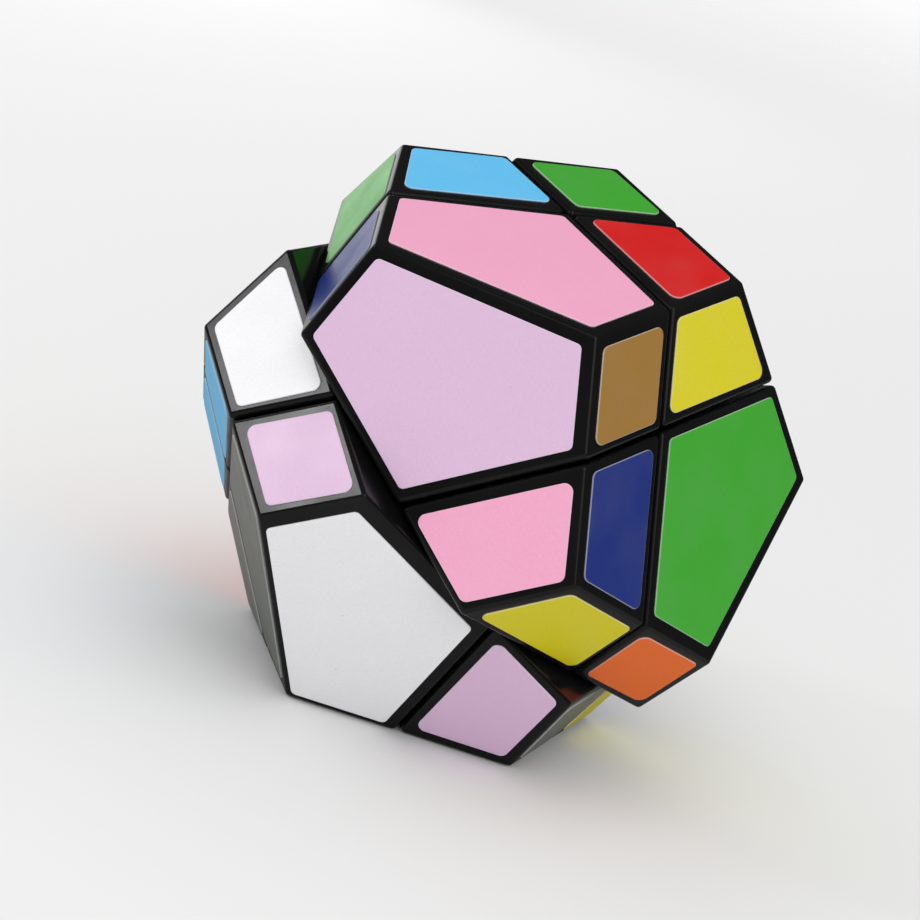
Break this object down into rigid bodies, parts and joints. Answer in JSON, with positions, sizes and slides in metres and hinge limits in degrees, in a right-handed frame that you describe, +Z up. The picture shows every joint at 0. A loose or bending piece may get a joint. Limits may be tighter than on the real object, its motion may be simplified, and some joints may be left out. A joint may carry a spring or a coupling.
{
  "type": "corner-turning dodecahedral puzzle",
  "caption": "Free-standing dodecahedral twisty puzzle with flush coloured stickers on black pieces, its upper half part way through a turn about a screwed corner.",
  "frame": {"origin": "centre of the pentagon that the puzzle rests on, on the outer face of its largest sticker", "axes": "+Z up, square to the rest face; +X along one edge of the rest pentagon; -Y towards the side with the large uncut sticker of the turned half"},
  "size_m": [0.0904, 0.0908, 0.0821],
  "materials": {
    "black_plastic": "injection-moulded ABS, satin",
    "core_plastic": "moulded nylon",
    "screw_steel": "zinc-plated steel",
    "spring_steel": "drawn spring wire",
    "sticker_white": "printed vinyl film, semi-gloss",
    "sticker_lilac": "printed vinyl film, semi-gloss",
    "sticker_pink": "printed vinyl film, semi-gloss",
    "sticker_sky_blue": "printed vinyl film, semi-gloss",
    "sticker_dark_blue": "printed vinyl film, semi-gloss",
    "sticker_green": "printed vinyl film, semi-gloss",
    "sticker_light_green": "printed vinyl film, semi-gloss",
    "sticker_yellow": "printed vinyl film, semi-gloss",
    "sticker_orange": "printed vinyl film, semi-gloss",
    "sticker_red": "printed vinyl film, semi-gloss",
    "sticker_brown": "printed vinyl film, semi-gloss",
    "sticker_grey": "printed vinyl film, semi-gloss"
  },
  "bodies": {
    "lower_half": {"pivot_corner_cap_2": "black_plastic", "pivot_corner_foot_2": "black_plastic", "pivot_corner_cap_3": "black_plastic", "pivot_corner_foot_3": "black_plastic", "pivot_corner_cap_4": "black_plastic", "pivot_corner_foot_4": "black_plastic", "loose_corner_cap_4": "black_plastic", "loose_corner_foot_4": "black_plastic", "middle_piece_cap_4": "black_plastic", "middle_piece_foot_4": "black_plastic", "middle_piece_cap_5": "black_plastic", "middle_piece_foot_5": "black_plastic", "middle_piece_cap_6": "black_plastic", "middle_piece_foot_6": "black_plastic", "core_spider": "core_plastic", "tension_screws": "screw_steel", "tension_washers": "screw_steel", "tension_springs": "spring_steel", "sticker_white_lower": "sticker_white", "sticker_light_green_lower": "sticker_light_green", "sticker_sky_blue_lower": "sticker_sky_blue", "sticker_lilac_lower": "sticker_lilac", "sticker_dark_blue_lower": "sticker_dark_blue", "sticker_grey_lower": "sticker_grey", "sticker_pink_lower": "sticker_pink", "sticker_brown_lower": "sticker_brown", "sticker_green_lower": "sticker_green", "sticker_red_lower": "sticker_red", "sticker_yellow_lower": "sticker_yellow", "sticker_orange_lower": "sticker_orange"},
    "pivot_washer": {"turned_washer": "screw_steel", "turned_spring": "spring_steel"},
    "upper_half": {"pivot_corner_cap_1": "black_plastic", "pivot_corner_foot_1": "black_plastic", "loose_corner_cap_1": "black_plastic", "loose_corner_foot_1": "black_plastic", "loose_corner_cap_2": "black_plastic", "loose_corner_foot_2": "black_plastic", "loose_corner_cap_3": "black_plastic", "loose_corner_foot_3": "black_plastic", "middle_piece_cap_1": "black_plastic", "middle_piece_foot_1": "black_plastic", "middle_piece_cap_2": "black_plastic", "middle_piece_foot_2": "black_plastic", "middle_piece_cap_3": "black_plastic", "middle_piece_foot_3": "black_plastic", "sticker_red_upper": "sticker_red", "sticker_yellow_upper": "sticker_yellow", "sticker_orange_upper": "sticker_orange", "sticker_pink_upper": "sticker_pink", "sticker_dark_blue_upper": "sticker_dark_blue", "sticker_sky_blue_upper": "sticker_sky_blue", "sticker_green_upper": "sticker_green", "sticker_lilac_upper": "sticker_lilac", "sticker_white_upper": "sticker_white", "sticker_brown_upper": "sticker_brown"}
  },
  "joints": [
    {"name": "half_turn", "type": "hinge", "parent": "lower_half", "child": "pivot_washer", "pos_m": [0, 0, 0.038], "axis": [0.5774, -0.1876, 0.7947], "continuous": true},
    {"name": "half_lift", "type": "slide", "parent": "pivot_washer", "child": "upper_half", "axis": [0.5774, -0.1876, 0.7947], "range_m": [0, 0.0006], "stiffness_N_per_m": 2000, "springref_m": -0.0015, "deforming": ["turned_spring"]}
  ]
}
